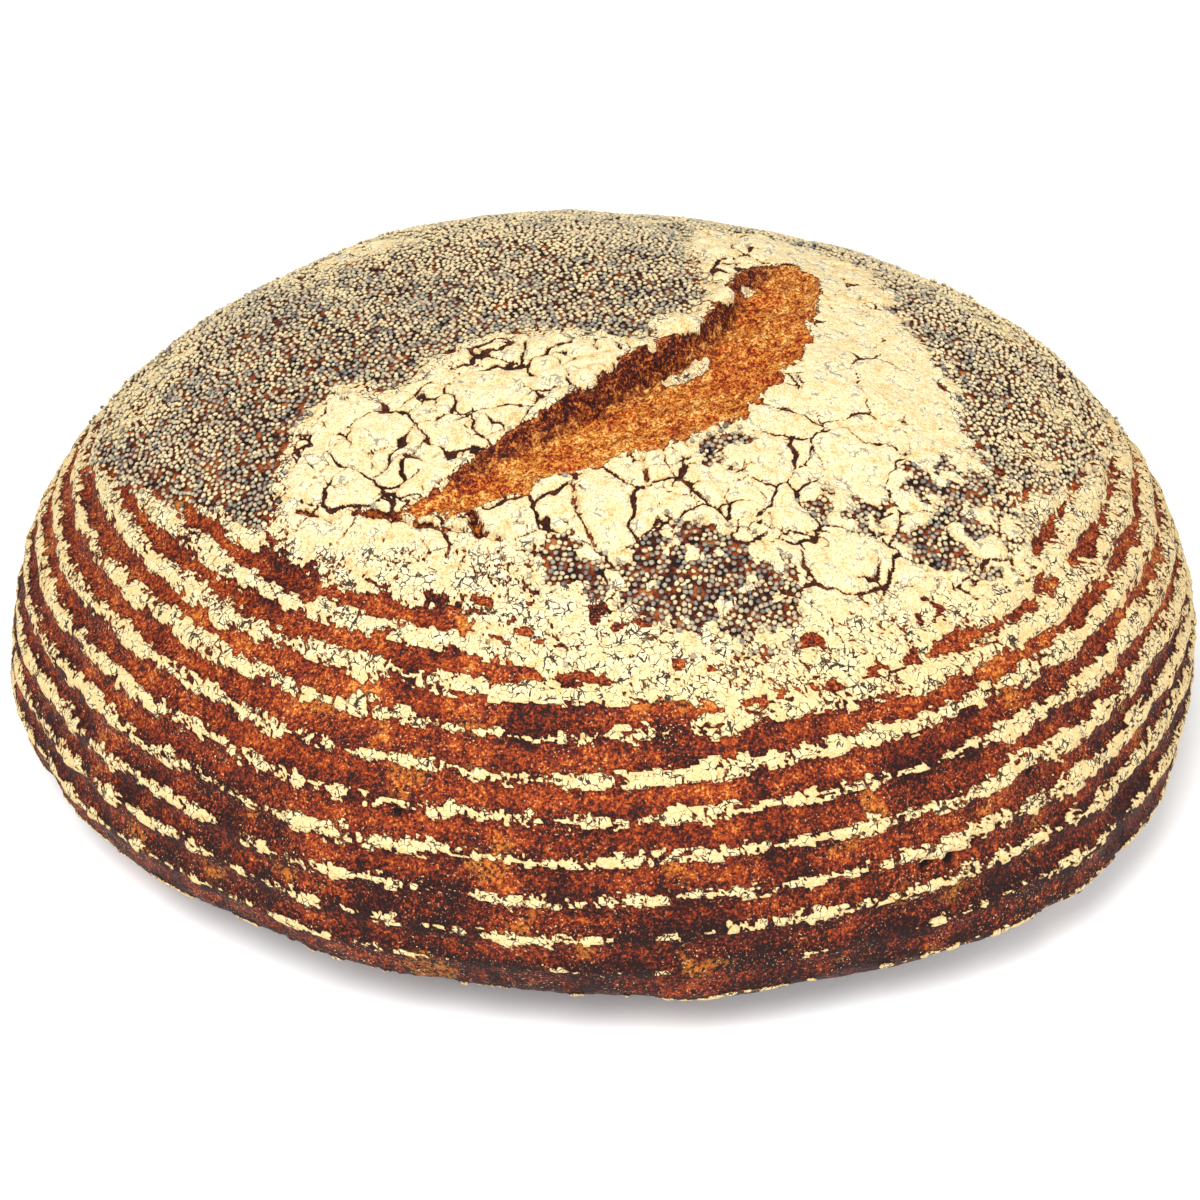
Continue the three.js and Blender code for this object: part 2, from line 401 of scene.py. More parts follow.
def seed_patch_depth(points, x, y, ragged, patchy):
    """How far each plan point is inside the patches of seeds that lie within the flour."""
    depth = np.full(len(x), FAR_OUTSIDE)
    for corners in SEED_PATCHES:
        depth = np.maximum(depth, depth_inside(x, y, corners, 6.0))
    spoilt = layered(points, 4.2, 221, 2) + 0.22 * smoothstep(36.0, 56.0, x)
    return depth + 3.2 * ragged + 1.6 * patchy - 9.0 * smoothstep(0.12, 0.42, spoilt)


def ring_breadth(points, arc, azimuth, side, broad, patchy):
    """Half the breadth of the flour on each basket ring."""
    crumbling = layered(points, 7.0, 231, 2)
    right_side = side * (azimuth > -1.2) * (azimuth < 0.5)
    half_band = 0.62 + 0.85 * side + 0.75 * right_side
    half_band = half_band + 1.2 * patchy + 0.5 * broad + 0.9 * crumbling
    half_band = half_band - 1.1 * smoothstep(146.0, 168.0, arc) - 4.0 * smoothstep(172.0, 182.0, arc)
    upper_front = bell(np.degrees(azimuth) + 70.0, 14.0) * smoothstep(130.0, 116.0, arc)
    return half_band + 0.9 * smoothstep(122.0, 106.0, arc) + 0.9 * upper_front


def lay_out(across, along):
    """Everything that depends only on the place on the smooth skin."""
    points = smooth_skin(across, along)
    x, y = points[:, 0], points[:, 1]
    arc = np.hypot(across, along)
    azimuth = np.arctan2(along, across)
    on_dome = arc < BELLY_ARC

    broad = layered(points, 42.0, 11, 2)
    patchy = layered(points, 13.0, 21, 2)
    ragged = layered(points, 4.6, 31, 3)
    warp = np.stack([layered(points, 6.0, seed, 2) for seed in (61, 67, 71)], axis=1)

    # splits beside the tear, flour knobs on its lip and flour left inside it
    split = split_depth(x, y, ragged)
    knob, knob_rise = heap(x, y, ragged, KNOBS)
    island, _ = heap(x, y, 1.8 * ragged, ISLANDS)

    # the tear
    rightwards, off_end, half_width, length, heading, openness = tear_frame(x, y)
    wander = 0.9 * noise(points, 5.0, 81) + 0.5 * noise(points, 2.2, 82)
    from_left = rightwards + half_width + 0.6 * wander - 0.7 * off_end - 7.0 * knob
    from_right = half_width - rightwards + 1.6 * wander - 0.7 * off_end
    tear_inside = np.where(on_dome, np.minimum(from_left, from_right), FAR_OUTSIDE)

    # flour on the crown, and seeds where there is none
    dusted = sum(amount * bell(np.hypot(x - dust_x, y - dust_y), radius)
                 for dust_x, dust_y, radius, amount in DUSTINGS)
    field = flour_depth(points, x, y, ragged, patchy, dusted)
    field = np.where(on_dome, field, FAR_OUTSIDE)
    carpet = depth_inside(x, y, SEED_CARPET) + 2.0 * ragged + 2.0 * patchy
    seeds = np.maximum(np.minimum(carpet, -field), seed_patch_depth(points, x, y, ragged, patchy))
    seeds = np.minimum(seeds, -tear_inside - 0.8)
    seeds = np.where(on_dome & (knob <= 0.5), seeds, FAR_OUTSIDE)

    # flour rings
    wobble = RING_WANDER * noise(points, 36.0, 51) + 0.5 * noise(points, 11.0, 52)
    phase = (arc - FIRST_RING + wobble) / RING_PITCH
    off_ring = np.abs(phase - np.round(phase)) * RING_PITCH
    side = side_share(azimuth)
    half_band = ring_breadth(points, arc, azimuth, side, broad, patchy)
    ring = np.where(seeds > 0.0, -3.0, half_band - off_ring)
    ring = ring - 3.0 * smoothstep(96.0, 84.0, arc)

    return dict(
        smooth=points, normal=skin_normals(across, along), x=x, y=y, arc=arc, azimuth=azimuth,
        broad=broad, patchy=patchy, ragged=ragged, warp=warp, from_left=from_left,
        from_right=from_right, tear_inside=tear_inside, rightwards=rightwards, length=length,
        heading=heading, openness=openness, split=split, knob=knob, knob_rise=knob_rise,
        island=island, field=field, dusted=dusted, seeds=seeds, ring=ring, off_ring=off_ring,
        side=side)


def crack_up(spot):
    """Breaks the flour into plates, chunks and crumbs. Sets how much flour shows and how thick."""
    bare = np.maximum(np.maximum(spot["tear_inside"] + 0.75, spot["seeds"]), spot["split"])
    margin = np.minimum(np.maximum(spot["field"], spot["ring"]), -bare)
    near = np.flatnonzero(margin > -2.0)
    margin, field, bare = margin[near], spot["field"][near], bare[near]
    patchy, ragged = spot["patchy"][near], spot["ragged"][near]
    points, warp = spot["smooth"][near], spot["warp"][near]
    jag = np.stack([layered(points, 2.4, seed, 2) for seed in (73, 79, 83)], axis=1)
    plate_border, plate_id = cells(points + 1.6 * warp + 0.5 * jag, PLATE_SIZE, 101)
    slab_border, slab_id = cells(points + 1.2 * warp + 0.5 * jag, SLAB_SIZE, 105)
    chunk_border, chunk_id = cells(points + 0.9 * warp, CHUNK_SIZE, 111)
    crumb_border, crumb_id = cells(points + 0.4 * warp, CRUMB_SIZE, 121)

    chunk_here = margin + 1.9 * (chunk_id - 0.5) + 0.5 * ragged > 0.0
    crumb_here = margin + 2.6 * (crumb_id - 0.62) > 0.0
    apart = 0.38 * smoothstep(-0.15, 0.40, noise(points, 9.0, 251))
    chunk = chunk_here * smoothstep(0.0, 0.30, chunk_border + 0.12 - apart)
    crumb = crumb_here * smoothstep(0.0, 0.25, crumb_border + 0.04)
    loose = np.maximum(chunk, 0.9 * crumb)

    x, y = spot["x"][near], spot["y"][near]
    calm = smoothstep(28.0, 44.0, x) * smoothstep(-66.0, -50.0, y)
    whole = smoothstep(1.5, 4.5, field - 1.5 * patchy) * smoothstep(0.0, 0.6, -bare)
    whole *= smoothstep(-96.0, -86.0, y - 0.35 * np.abs(x - 20.0))
    restless = noise(points, 8.0, 141)
    plate_gap = np.minimum(0.08 + 0.40 * patchy + 0.25 * restless - 0.26 * calm, 0.20)
    slab_gap = np.minimum(-0.14 + 0.5 * restless - 0.3 * patchy - 0.15 * calm, 0.12)
    chunk_gap = np.minimum(-0.40 + 0.6 * ragged - 0.4 * restless - 0.25 * calm, 0.05)
    plate = smoothstep(0.0, 0.35, plate_border - plate_gap)
    slab = smoothstep(0.0, 0.30, slab_border - slab_gap)
    split = smoothstep(0.0, 0.25, chunk_border - chunk_gap)
    solid = plate * mix(slab, 1.0, 0.15) * mix(split, 1.0, 0.35)
    flour = mix(loose, solid, whole)

    pillow = np.sqrt(smoothstep(0.0, 3.4, plate_border)) * 0.6 + 0.4
    slab_pillow = smoothstep(0.0, 1.8, slab_border)
    plate_thick = (1.0 - 0.5 * calm) * (1.1 * pillow + 0.45 * slab_pillow)
    plate_thick += 0.45 * (plate_id - 0.5) + 0.3 * (slab_id - 0.5)
    chunk_thick = 0.42 + 0.35 * (chunk_id - 0.5)
    thickness = mix(chunk_thick, np.maximum(plate_thick, 0.3), whole)
    for name, values in (("flour", np.clip(flour, 0.0, 1.0)), ("thickness", thickness),
                         ("whole", whole)):
        spot[name] = np.zeros(len(spot["arc"]))
        spot[name][near] = values
    spot["flour"] = np.maximum(spot["flour"], np.maximum(spot["knob"], 0.72 * spot["island"]))


def dress(across, along):
    """Places each point on the detailed skin, in spot["place"], and notes its tones."""
    spot = lay_out(across, along)
    points, arc = spot["smooth"], spot["arc"]
    crack_up(spot)
    height = 1.3 * spot["broad"] + 0.45 * spot["patchy"] + 0.16 * spot["ragged"]
    height = height * smoothstep(BASE_EDGE_ARC, BASE_EDGE_ARC - 14.0, arc)

    in_basket = smoothstep(80.0, 104.0, arc) * smoothstep(176.0, 164.0, arc)
    ridge = 0.5 + 0.5 * np.cos(2.0 * math.pi * spot["off_ring"] / RING_PITCH)
    height += RING_HEIGHT * in_basket * (ridge - 0.5) * (0.5 + 0.5 * spot["side"])

    height += spot["flour"] * spot["thickness"]
    grain = noise(points, 1.1, 131)
    blister = noise(points, 2.4, 141)
    height += 0.11 * grain + 0.12 * blister * (1.0 - 0.4 * spot["flour"])

    # the holes are dug into the skin, and their mask also gives them painted shade inside
    pit_shade = np.zeros(len(arc))
    for azimuth, length, radius, depth in PITS:
        turn = math.radians(azimuth)
        dx = across - length * math.cos(turn)
        dy = along - length * math.sin(turn)
        hole = bell(np.hypot(dx, dy), radius)
        height -= depth * hole
        pit_shade = np.maximum(pit_shade, hole)

    # inside the tear the skin drops away on the left and comes up again towards the right
    inside = smoothstep(-0.25, 0.25, spot["tear_inside"])
    left, right = spot["from_left"], spot["from_right"]
    share = np.clip(left / np.maximum(left + right, 0.1), 0.0, 1.0)
    wall = smoothstep(0.25, 4.2, left)
    floor_depth = TEAR_DEPTH * (1.0 - share) ** 1.25 * spot["openness"] * wall
    floor_depth += 0.9 * smoothstep(0.0, 1.2, right)
    bent = spot["rightwards"] + 1.2 * spot["warp"][:, 0]
    fibre_place = np.stack([spot["length"] / 3.2, bent / 1.5, 0.25 * spot["warp"][:, 1]], axis=1)
    fibre = layered(fibre_place, 1.0, 151, 3)
    lumps = noise(points, 7.0, 161)
    crumbly = layered(points, 2.2, 171, 3)
    strands = mix(0.9, 0.35, smoothstep(0.1, 0.6, share))
    floor_depth -= wall * (1.2 * lumps + strands * fibre + 0.75 * crumbly)
    height = mix(height, 0.35 * height - floor_depth, inside)
    height -= (1.0 - inside) * 1.5 * smoothstep(-0.3, 0.9, spot["split"])
    height += KNOB_RISE * spot["knob_rise"] + 0.5 * spot["island"]

    outside = np.maximum(-left, 0.0)
    near_lip = np.exp(-outside / 3.0) * smoothstep(-1.5, 1.0, right) * (arc < BELLY_ARC)
    height += (1.0 - inside) * LIP_RISE * spot["openness"] * near_lip
    lean_over = LIP_OVERHANG * spot["openness"] * near_lip * (1.0 - 1.7 * wall)
    sideways = np.stack([spot["heading"][:, 1], -spot["heading"][:, 0], np.zeros(len(arc))], axis=1)

    spot["place"] = points + height[:, None] * spot["normal"] + lean_over[:, None] * sideways
    # the crust's level: darker towards the base, partly its own colour and partly painted shade, and patchy
    toast_and_shade = 0.09 + 0.34 * smoothstep(6.0, 74.0, points[:, 2]) + 0.2 * spot["patchy"]
    toast_and_shade += 0.10 * spot["broad"] + 0.06 * (spot["off_ring"] - 1.8)
    spot["toast_and_shade"] = np.clip(toast_and_shade, 0.0, 1.0)
    # painted shadow: the crumb darkened below the tear's overhanging lip, and in the open splits
    painted_shadow = 1.0 - smoothstep(0.05, 0.30, share + 0.10 * fibre)
    painted_shadow *= smoothstep(-0.75, -0.35, spot["tear_inside"])
    painted_shadow *= smoothstep(0.05, 0.55, spot["openness"])
    painted_shadow = np.maximum(painted_shadow, smoothstep(-0.2, 0.4, spot["split"]))
    spot["painted_shadow"] = np.clip(painted_shadow, 0.0, 1.0)
    spot["fibre"] = np.clip(0.5 + 0.5 * fibre, 0.0, 1.0)
    spot["pit_shade"] = np.clip(pit_shade, 0.0, 1.0)
    # painted shade on the crust among the seeds
    spot["seed_shade"] = smoothstep(-0.6, 0.6, spot["seeds"])
    return spot


# ---- Mesh making ----

def new_mesh(name, points, quads, triangles):
    """A mesh object from arrays of points in metres and of corner numbers."""
    mesh = bpy.data.meshes.new(name)
    corners = np.concatenate([quads.ravel(), triangles.ravel()]).astype(np.int32)
    sizes = np.concatenate([np.full(len(quads), 4), np.full(len(triangles), 3)]).astype(np.int32)
    starts = np.concatenate([[0], np.cumsum(sizes)[:-1]]).astype(np.int32)
    mesh.vertices.add(len(points))
    mesh.vertices.foreach_set("co", np.ascontiguousarray(points, np.float32).ravel())
    mesh.loops.add(len(corners))
    mesh.loops.foreach_set("vertex_index", corners)
    mesh.polygons.add(len(sizes))
    mesh.polygons.foreach_set("loop_start", starts)
    mesh.polygons.foreach_set("use_smooth", np.ones(len(sizes), bool))
    mesh.update(calc_edges=True)
    mesh.validate()
    piece = bpy.data.objects.new(name, mesh)
    bpy.context.scene.collection.objects.link(piece)
    return piece, corners


def paint(piece, name, red, green, blue, alpha=None):
    """Stores four shares per vertex as one colour layer."""
    layer = piece.data.attributes.new(name, "FLOAT_COLOR", "POINT")
    alpha = np.ones_like(red) if alpha is None else alpha
    layer.data.foreach_set("color", np.stack([red, green, blue, alpha], axis=1).astype(np.float32).ravel())


def lay_uv(piece, corner_uv):
    layer = piece.data.uv_layers.new(name="OFBake")
    layer.data.foreach_set("uv", corner_uv.astype(np.float32).ravel())


def crown_patch():
    """A square grid pressed round, over the crown: unrolled points, quads and the rim's numbers."""
    line = np.linspace(-1.0, 1.0, PATCH_CELLS + 1)
    u, v = np.meshgrid(line, line)
    across = (u * np.sqrt(1.0 - v * v / 2.0) * PATCH_ARC).ravel()
    along = (v * np.sqrt(1.0 - u * u / 2.0) * PATCH_ARC).ravel()
    number = np.arange((PATCH_CELLS + 1) ** 2).reshape(PATCH_CELLS + 1, PATCH_CELLS + 1)
    quads = np.stack([number[:-1, :-1], number[:-1, 1:], number[1:, 1:], number[1:, :-1]], axis=-1)
    rim = np.concatenate([number[0, :-1], number[:-1, -1], number[-1, :0:-1], number[:0:-1, 0]])
    return across, along, quads.reshape(-1, 4), rim


def ring_quads(inner, outer):
    """Quads between two closed rows of point numbers, the inner one nearer the crown."""
    return np.stack([inner, outer, np.roll(outer, -1), np.roll(inner, -1)], axis=1)


def make_crust():
    """The crown patch, the rows down the side and in under the base: their points and faces."""
    across, along, quads, rim = crown_patch()
    columns = len(rim)
    direction = np.stack([across[rim], along[rim]]) / PATCH_ARC
    rows = round((BASE_EDGE_ARC - PATCH_ARC) / ROW_SPACING)
    arcs = np.linspace(PATCH_ARC, BASE_EDGE_ARC, rows + 1)[1:]
    across = np.concatenate([across, np.outer(arcs, direction[0]).ravel()])
    along = np.concatenate([along, np.outer(arcs, direction[1]).ravel()])
    spot = dress(across, along)
    place = spot["place"]
    place[:, 2] = np.maximum(place[:, 2], 0.0)

    first = (PATCH_CELLS + 1) ** 2
    rings = [rim] + [first + row * columns + np.arange(columns) for row in range(rows)]
    edge = rings[-1]
    place[edge, 2] = 0.0
    middle = place[edge].mean(axis=0)
    count = len(place)
    base_places, base_flat = [], []
    for row in range(1, BASE_ROWS):
        share = 1.0 - row / BASE_ROWS
        base_places.append(middle + (place[edge] - middle) * share)
        base_flat.append(direction.T * (BASE_EDGE_ARC + BASE_RADIUS * (1.0 - share)))
        rings.append(count + (row - 1) * columns + np.arange(columns))
    centre = count + (BASE_ROWS - 1) * columns
    place = np.vstack([place] + base_places + [middle[None]])
    flat = np.vstack([np.stack([across, along], axis=1)] + base_flat + [[[0.0, 0.0]]])

    strips = np.concatenate([ring_quads(inner, outer) for inner, outer in zip(rings, rings[1:])])
    last = rings[-1]
    fan = np.stack([last, np.full(columns, centre), np.roll(last, -1)], axis=1)
    return spot, place, flat, np.concatenate([quads, strips]), fan, len(quads), rows, columns


UV_SPLIT_ARC = 172.0  # skin length where the map's upper disc ends and its lower disc starts
UV_BASE_SHRINK = 0.45
UV_MARGIN = 0.006
UV_FILL = 0.985  # share of the square's diagonal that the two discs take up


def crust_uv(flat, corners, lower_corner):
    """Two discs side by side: the crown and sides, and the underside at a smaller scale."""
    full_arc = BASE_EDGE_ARC + BASE_RADIUS
    lower_radius = (full_arc - UV_SPLIT_ARC) * UV_BASE_SHRINK
    scale = UV_FILL / ((UV_SPLIT_ARC + lower_radius) * (1.0 + math.sqrt(0.5)))
    spread = flat[corners]
    arc = np.linalg.norm(spread, axis=1)
    arc = np.where(lower_corner & (arc == 0.0), full_arc, arc)
    direction = spread / np.maximum(np.linalg.norm(spread, axis=1), 1e-6)[:, None]
    upper = direction * arc[:, None] * scale + (UV_MARGIN + UV_SPLIT_ARC * scale)
    mirrored = direction * np.array([-1.0, 1.0])
    lower = mirrored * ((full_arc - arc) * UV_BASE_SHRINK * scale)[:, None]
    lower = lower + (1.0 - UV_MARGIN - lower_radius * scale)
    return np.where(lower_corner[:, None], lower, upper)


def build_crust(centre):
    spot, place, flat, quads, fan, patch_quads, rows, columns = make_crust()
    piece, corners = new_mesh("crust", (place - centre) * MM, quads, fan)
    split_row = round((UV_SPLIT_ARC - PATCH_ARC) / (BASE_EDGE_ARC - PATCH_ARC) * rows)
    face_is_lower = np.arange(len(quads)) >= patch_quads + split_row * columns
    lower_corner = np.concatenate([np.repeat(face_is_lower, 4), np.ones(fan.size, bool)])
    lay_uv(piece, crust_uv(flat, corners, lower_corner))
    extra = len(place) - len(spot["arc"])

    def padded(name, fill=0.0):
        return np.concatenate([spot[name], np.full(extra, fill)])

    torn = smoothstep(-0.75, -0.35, padded("tear_inside", FAR_OUTSIDE)) * (1.0 - padded("knob"))
    torn = np.maximum(torn, smoothstep(-0.1, 0.3, padded("split", FAR_OUTSIDE)))
    # the cover layer's blue share is the painted shade among the seeds
    paint(piece, "cover", padded("flour"), torn, padded("seed_shade"), padded("whole"))
    # The tone layer: the crust's level (darker low on the side, partly painted shade), the painted shadow
    # in the tear, the fibre, and the painted shade in the holes
    paint(piece, "tone", padded("toast_and_shade", 0.12), padded("painted_shadow"), padded("fibre", 0.5), padded("pit_shade"))
    return piece


# ---- Poppy seeds ----

SEED_SPACING = 0.98  # least distance between two seeds' middles
SEED_RADII = (0.62, 0.52, 0.42)
SEED_SINK = 0.10
SEED_SECTORS = 3  # pieces that the seeds are shared among
SEED_FIELD_REACH = 118.0
SEED_TRIES = 6  # places tried for each square of that spacing


def scatter_seeds(random):
    """Seed places on the unrolled plane, none nearer to another than the spacing."""
    cell = SEED_SPACING / math.sqrt(2.0)
    size = int(2 * SEED_FIELD_REACH / cell) + 6
    tries = int(math.pi * SEED_FIELD_REACH**2 / SEED_SPACING**2 * SEED_TRIES)
    arc = SEED_FIELD_REACH * np.sqrt(random.random(tries))
    turn = random.random(tries) * 2.0 * math.pi
    spots = np.stack([arc * np.cos(turn), arc * np.sin(turn)], axis=1)
    layout = lay_out(spots[:, 0], spots[:, 1])
    thick = smoothstep(-0.5, 1.2, layout["seeds"] + 0.5 * layout["ragged"])
    stray = 0.03 * smoothstep(-3.5, -0.5, layout["seeds"]) * (layout["tear_inside"] < -1.0)
    bald = layered(layout["smooth"], 5.0, 201, 3) + 0.16 * smoothstep(-20.0, -70.0, layout["x"])
    bald = smoothstep(0.30, 0.55, bald)
    wanted = np.maximum(thick * (1.0 - 0.85 * bald), stray)
    spots = spots[random.random(tries) < wanted]
    taken = np.full((size, size, 2), 1e9)
    kept = []
    for across, along in spots:
        column = int((across + SEED_FIELD_REACH) / cell) + 3
        row = int((along + SEED_FIELD_REACH) / cell) + 3
        near = taken[column - 2:column + 3, row - 2:row + 3] - (across, along)
        if np.min(near[..., 0] ** 2 + near[..., 1] ** 2) >= SEED_SPACING**2:
            taken[column, row] = (across, along)
            kept.append((across, along))
    return np.array(kept)


def icosahedron():
    """A pole at each end and two rows of five points between, with its faces and map places."""
    turns = np.arange(5) * 2.0 * math.pi / 5
    level, girth = 1.0 / math.sqrt(5.0), 2.0 / math.sqrt(5.0)
    upper = np.stack([girth * np.cos(turns), girth * np.sin(turns), np.full(5, level)], axis=1)
    low_turns = turns + math.pi / 5
    lower = np.stack([girth * np.cos(low_turns), girth * np.sin(low_turns), np.full(5, -level)], axis=1)
    points = np.vstack([[[0.0, 0.0, 1.0]], upper, lower, [[0.0, 0.0, -1.0]]])
    faces, places = [], []
    for i, here in enumerate(turns):
        # a point's number, and its turn and radius on the map
        top, top_next = (1 + i, here, 0.17), (1 + (i + 1) % 5, here + 2.0 * math.pi / 5, 0.17)
        low, low_before = (6 + i, here + math.pi / 5, 0.33), (6 + (i + 4) % 5, here - math.pi / 5, 0.33)
        for face in (((0, 0.0, 0.0), top, top_next), (top, low, top_next),
                     (top, low_before, low), ((11, here, 0.47), low, low_before)):
            faces.append([number for number, _, _ in face])
            places.append([(0.5 + radius * math.cos(turn), 0.5 + radius * math.sin(turn))
                           for _, turn, radius in face])
    return points, np.array(faces), np.array(places)


def turned_frames(normals, random):
    """For each seed, three axes: its length, its width and its height, leaning a little."""
    up = unit_length(normals + random.normal(0.0, 0.16, normals.shape))
    long_way = unit_length(np.cross(up, random.normal(size=normals.shape)))
    return np.stack([long_way, np.cross(up, long_way), up], axis=1)


def build_seeds(centre):
    random = np.random.default_rng(7)
    spots = scatter_seeds(random)
    spot = dress(spots[:, 0], spots[:, 1])
    count = len(spots)
    axes = turned_frames(spot["normal"], random)
    radii = np.array(SEED_RADII) * random.normal(1.0, 0.09, (count, 3))
    middle = spot["place"] + spot["normal"] * (radii[:, 2] - SEED_SINK)[:, None]
    shape, faces, places = icosahedron()
    bent = shape * (1.0 + 0.06 * random.normal(size=(count, len(shape), 1)))
    bent[:, :, 1] += 0.22 * (bent[:, :, 0] ** 2 - 0.4)
    points = middle[:, None] + np.einsum("nvk,nkc->nvc", bent * radii[:, None], axes)
    tone = np.clip(random.normal(0.5, 0.22, count) + 0.12 * spot["patchy"], 0.0, 1.0)
    back = smoothstep(-30.0, 60.0, spot["y"])
    dust = 0.18 + 0.6 * layered(spot["smooth"], 8.0, 211, 2) + 0.32 * back
    dust += random.normal(0.0, 0.26, count) + 0.6 * (random.random(count) > 0.9)
    dust += 0.18 * smoothstep(35.0, 85.0, spot["x"])
    dust = np.clip(dust + 0.5 * spot["dusted"], 0.0, 1.0)
    # how high on the seed each point lies: flour dust settles on top, and the lower sides get painted shade
    topness = 0.5 + 0.5 * shape[:, 2]

    sector = ((spot["azimuth"] / (2.0 * math.pi) + 0.5) * SEED_SECTORS).astype(int) % SEED_SECTORS
    pieces = []
    for number in range(SEED_SECTORS):
        chosen = np.flatnonzero(sector == number)
        total = len(chosen)
        offsets = (np.arange(total) * len(shape))[:, None, None]
        triangles = (faces[None] + offsets).reshape(-1, 3)
        name = f"poppy_seeds_{number + 1}"
        piece, _ = new_mesh(name, (points[chosen].reshape(-1, 3) - centre) * MM,
                            np.zeros((0, 4), int), triangles)
        per_side = math.ceil(math.sqrt(total))
        corner = np.stack([np.arange(total) % per_side, np.arange(total) // per_side], axis=1)
        lay_uv(piece, ((corner[:, None, None] + places[None]) / per_side).reshape(-1, 2))
        repeats = len(shape)
        # seed layer: random tone, height on the seed (for the dust on top and the painted shade below), and
        # dust
        paint(piece, "seed", np.repeat(tone[chosen], repeats), np.tile(topness, total),
              np.repeat(dust[chosen], repeats))
        pieces.append(piece)
    return pieces


# ---- Materials ----

def web_colour(code):
    """A web colour code as a linear colour."""
    shares = [int(code[i:i + 2], 16) / 255.0 for i in (0, 2, 4)]
    return (*(s / 12.92 if s <= 0.04045 else ((s + 0.055) / 1.055) ** 2.4 for s in shares), 1.0)


class Nodes:
    """Short calls that add shader nodes to one material. Most return an output socket."""

    def __init__(self, name):
        self.material = bpy.data.materials.new(name)
        self.material.use_nodes = True
        self.tree = self.material.node_tree
        self.shader = self.tree.nodes["Principled BSDF"]

    def add(self, kind, settings=None, **inputs):
        node = self.tree.nodes.new(kind)
        for key, value in (settings or {}).items():
            setattr(node, key, value)
        for key, value in inputs.items():
            self.feed(node.inputs[key.replace("_", " ")], value)
        return node

    def surface(self, **inputs):
        """Feeds the surface shader's own sockets, and returns the finished material."""
        for key, value in inputs.items():
            self.feed(self.shader.inputs[key.replace("_", " ")], value)
        return self.material

    def feed(self, socket, value):
        """Gives a socket a link, a web colour code or a plain value."""
        if isinstance(value, bpy.types.NodeSocket):
            self.tree.links.new(value, socket)
        elif isinstance(value, str):
            socket.default_value = web_colour(value)
        else:
            socket.default_value = value

    def layer(self, name):
        """The four shares of a colour layer."""
        source = self.add("ShaderNodeAttribute", {"attribute_name": name})
        parts = self.add("ShaderNodeSeparateColor", Color=source.outputs["Color"])
        return (*(parts.outputs[key] for key in ("Red", "Green", "Blue")), source.outputs["Alpha"])

    def millimetres(self):
        place = self.add("ShaderNodeTexCoord").outputs["Object"]
        return self.add("ShaderNodeMapping", Vector=place, Scale=(1 / MM,) * 3).outputs["Vector"]

    def noise(self, place, size, detail=2.0, rough=0.5):
        return self.add("ShaderNodeTexNoise", Vector=place, Scale=1.0 / size, Detail=detail,
                        Roughness=rough).outputs["Fac"]

    def maths(self, operation, first, second):
        node = self.add("ShaderNodeMath", {"operation": operation})
        self.feed(node.inputs[0], first)
        self.feed(node.inputs[1], second)
        return node.outputs[0]

    def times(self, first, second):
        return self.maths("MULTIPLY", first, second)

    def around(self, value, strength):
        """A noise value moved to swing about zero."""
        return self.times(self.maths("SUBTRACT", value, 0.5), strength)

    def total(self, *values):
        result = values[0]
        for value in values[1:]:
            result = self.maths("ADD", result, value)
        return result

    def step(self, value, low, high, to_low=0.0, to_high=1.0):
        node = self.add("ShaderNodeMapRange", {"interpolation_type": "SMOOTHSTEP"}, Value=value,
                        From_Min=low, From_Max=high, To_Min=to_low, To_Max=to_high)
        return node.outputs["Result"]

    def blend(self, share, first, second):
        node = self.add("ShaderNodeMix", {"data_type": "RGBA"})
        for index, value in ((0, share), (6, first), (7, second)):
            self.feed(node.inputs[index], value)
        return node.outputs[2]

    def ramp(self, value, *stops):
        """Colours along a ramp, given as pairs of a place and a web colour code."""
        node = self.add("ShaderNodeValToRGB", Fac=value)
        points = node.color_ramp.elements
        while len(points) < len(stops):
            points.new(1.0)
        for point, (place, code) in zip(points, stops):
            point.position = place
            point.color = web_colour(code)
        return node.outputs["Color"]


def shared_grain(n, place):
    """The noises that the crust's layers share, from coarse to fine."""
    return {"drift": n.noise(place, 11.0, 3.0), "mottle": n.noise(place, 3.0, 4.0, 0.6),
            "grit": n.noise(place, 0.8, 3.0, 0.65), "speck": n.noise(place, 0.42, 2.0, 0.6)}


def baked_skin(n, grain, toast_and_shade):
    """Brown crust, darker low on the side partly as painted shade, with golden patches and specks of flour.
    """
    level = n.total(toast_and_shade, n.around(grain["mottle"], 1.2), n.around(grain["grit"], 1.9),
                    n.around(grain["speck"], 1.5), n.around(grain["drift"], 0.5))
    skin = n.ramp(level, (0.0, "1C0604"), (0.25, "4E1608"), (0.48, "842D0D"), (0.70, "AC4A15"),
                  (0.88, "C46C24"), (1.0, "D89446"))
    golden = n.times(n.step(grain["drift"], 0.60, 0.68), n.step(grain["grit"], 0.40, 0.60))
    skin = n.blend(n.times(golden, 0.45), skin, "DC8A2E")
    powder = n.times(n.step(grain["speck"], 0.645, 0.71), n.step(grain["drift"], 0.38, 0.6))
    return n.blend(powder, skin, "EBD3A0")


